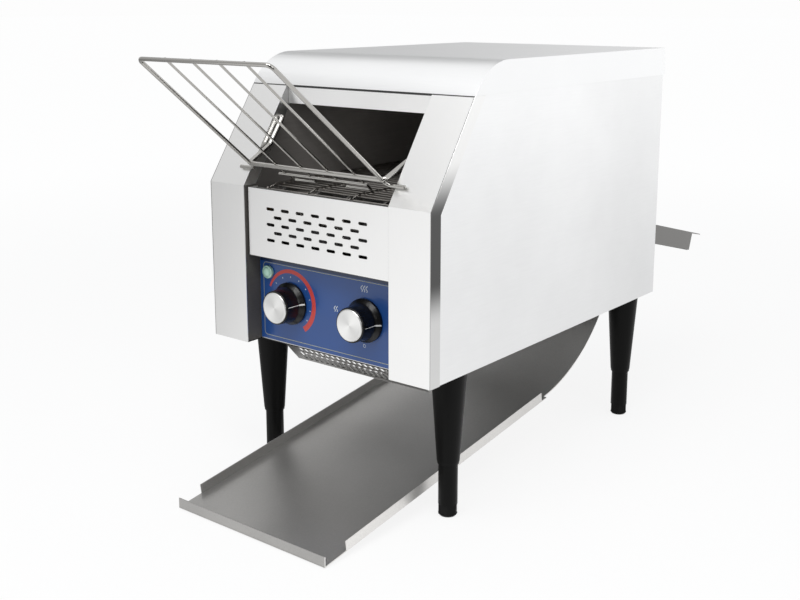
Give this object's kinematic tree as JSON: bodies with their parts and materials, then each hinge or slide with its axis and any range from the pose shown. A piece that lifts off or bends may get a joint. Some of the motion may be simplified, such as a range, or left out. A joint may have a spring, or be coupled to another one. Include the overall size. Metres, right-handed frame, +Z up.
{
  "type": "conveyor toaster",
  "caption": "Counter-top conveyor toaster: a wire load rack feeds a wire belt between heater banks, and a chute brings the toast back to a sloping tray under the front",
  "frame": {"origin": "On the counter, under the middle of the part's overall box: the feet stand on z = 0 and the box is centred in x and y.", "axes": "+X to the right as seen from the front, +Y from the front to the back, +Z up."},
  "size_m": [0.288, 0.7362, 0.4536],
  "materials": {
    "bright_steel": "light brushed stainless",
    "shell_steel": "light brushed stainless",
    "galvanised": "plain zinc-coated sheet",
    "tray_steel": "mid-grey brushed stainless",
    "panel_steel": "plain sheet steel",
    "reflector": "bright plain sheet",
    "dark_liner": "heat-darkened matt sheet",
    "label_blue": "printed polyester film",
    "lamp_green": "clear-coated green lens",
    "quartz": "sheathed heating tube",
    "ceramic": null,
    "belt_wire": "drawn stainless wire",
    "bronze": "sintered bronze",
    "ground_steel": "ground bar",
    "machined_steel": "lightly oiled steel",
    "motor_body": "cast and plated housing",
    "black_plastic": "moulded",
    "ivory_plastic": "moulded",
    "knob_black": "glossy moulded",
    "knob_cap": "spun radial brush",
    "rack_chrome": "bright chromed rod",
    "leg_black": "satin moulded",
    "zinc": "zinc-plated fastener"
  },
  "bodies": {
    "cabinet": {"cheek_left": "bright_steel", "cheek_right": "bright_steel", "guard_panel": "bright_steel", "visor": "bright_steel", "side_panel_left": "shell_steel", "side_panel_right": "shell_steel", "lid": "shell_steel", "rear_panel": "shell_steel", "base_pan": "galvanised", "tray_rails": "galvanised", "heat_shield": "galvanised", "motor_bracket": "galvanised", "lower_reflector": "galvanised", "drop_deflector": "galvanised", "bottom_grille": "tray_steel", "rear_guard": "tray_steel", "control_panel": "panel_steel", "upper_reflector": "reflector", "liner_left": "dark_liner", "liner_right": "dark_liner", "control_label": "label_blue", "pilot_lamp": "lamp_green", "upper_heaters": "quartz", "lower_heaters": "quartz", "heater_insulators": "ceramic", "wire_belt": "belt_wire", "shaft_bushes": "bronze", "drive_chain": "machined_steel", "gear_motor": "motor_body", "fan_frame": "black_plastic", "speed_control": "black_plastic", "cable_gland": "black_plastic", "heat_selector": "ivory_plastic", "terminal_block": "ivory_plastic", "leg_front_left": "leg_black", "leg_front_right": "leg_black", "leg_rear_left": "leg_black", "leg_rear_right": "leg_black", "leg_bolts": "zinc", "panel_screws": "zinc"},
    "drive": {"drive_shaft": "ground_steel", "drive_sprockets": "machined_steel", "chain_wheel": "machined_steel"},
    "idler": {"idler_shaft": "ground_steel", "idler_sprockets": "machined_steel"},
    "motor": {"motor_pinion": "machined_steel"},
    "fan": {"fan_rotor": "black_plastic"},
    "speed_knob_body": {"speed_knob": "knob_black", "speed_knob_cap": "knob_cap", "speed_shaft": "ground_steel"},
    "selector_knob_body": {"selector_knob": "knob_black", "selector_knob_cap": "knob_cap", "selector_shaft": "ground_steel"},
    "rack": {"load_rack": "rack_chrome"},
    "tray": {"toast_tray": "tray_steel"},
    "foot_fl": {"foot_front_left": "leg_black"},
    "foot_fr": {"foot_front_right": "leg_black"},
    "foot_rl": {"foot_rear_left": "leg_black"},
    "foot_rr": {"foot_rear_right": "leg_black"}
  },
  "joints": [
    {"name": "drive_turn", "type": "hinge", "parent": "cabinet", "child": "drive", "pos_m": [0, -0.19193, 0.29568], "axis": [1, 0, 0], "continuous": true, "deforming": ["wire_belt"]},
    {"name": "idler_turn", "type": "hinge", "parent": "cabinet", "child": "idler", "pos_m": [0, 0.14807, 0.29568], "axis": [1, 0, 0], "continuous": true},
    {"name": "motor_turn", "type": "hinge", "parent": "cabinet", "child": "motor", "pos_m": [0.12, -0.11748, 0.21585], "axis": [1, 0, 0], "continuous": true},
    {"name": "fan_spin", "type": "hinge", "parent": "cabinet", "child": "fan", "pos_m": [0, -0.12793, 0.164], "axis": [0, 0, 1], "continuous": true},
    {"name": "speed_turn", "type": "hinge", "parent": "cabinet", "child": "speed_knob_body", "pos_m": [-0.05, -0.22093, 0.1977], "axis": [0, 1, 0], "range_deg": [-180, 45]},
    {"name": "selector_turn", "type": "hinge", "parent": "cabinet", "child": "selector_knob_body", "pos_m": [0.05, -0.22093, 0.1977], "axis": [0, 1, 0], "range_deg": [-180, 90]},
    {"name": "rack_swing", "type": "hinge", "parent": "cabinet", "child": "rack", "pos_m": [0, -0.17287, 0.384], "axis": [-1, 0, 0], "range_deg": [0, 110]},
    {"name": "tray_slide", "type": "slide", "parent": "cabinet", "child": "tray", "axis": [0, -1, 0], "range_m": [0, 0.27]},
    {"name": "foot_fl_screw", "type": "slide", "parent": "cabinet", "child": "foot_fl", "axis": [0, 0, -1], "range_m": [-0.01, 0.02]},
    {"name": "foot_fr_screw", "type": "slide", "parent": "cabinet", "child": "foot_fr", "axis": [0, 0, -1], "range_m": [-0.01, 0.02]},
    {"name": "foot_rl_screw", "type": "slide", "parent": "cabinet", "child": "foot_rl", "axis": [0, 0, -1], "range_m": [-0.01, 0.02]},
    {"name": "foot_rr_screw", "type": "slide", "parent": "cabinet", "child": "foot_rr", "axis": [0, 0, -1], "range_m": [-0.01, 0.02]}
  ],
  "couplings": [
    {"joint": "idler_turn", "follows": "drive_turn", "ratio": 1},
    {"joint": "motor_turn", "follows": "drive_turn", "ratio": 2}
  ]
}
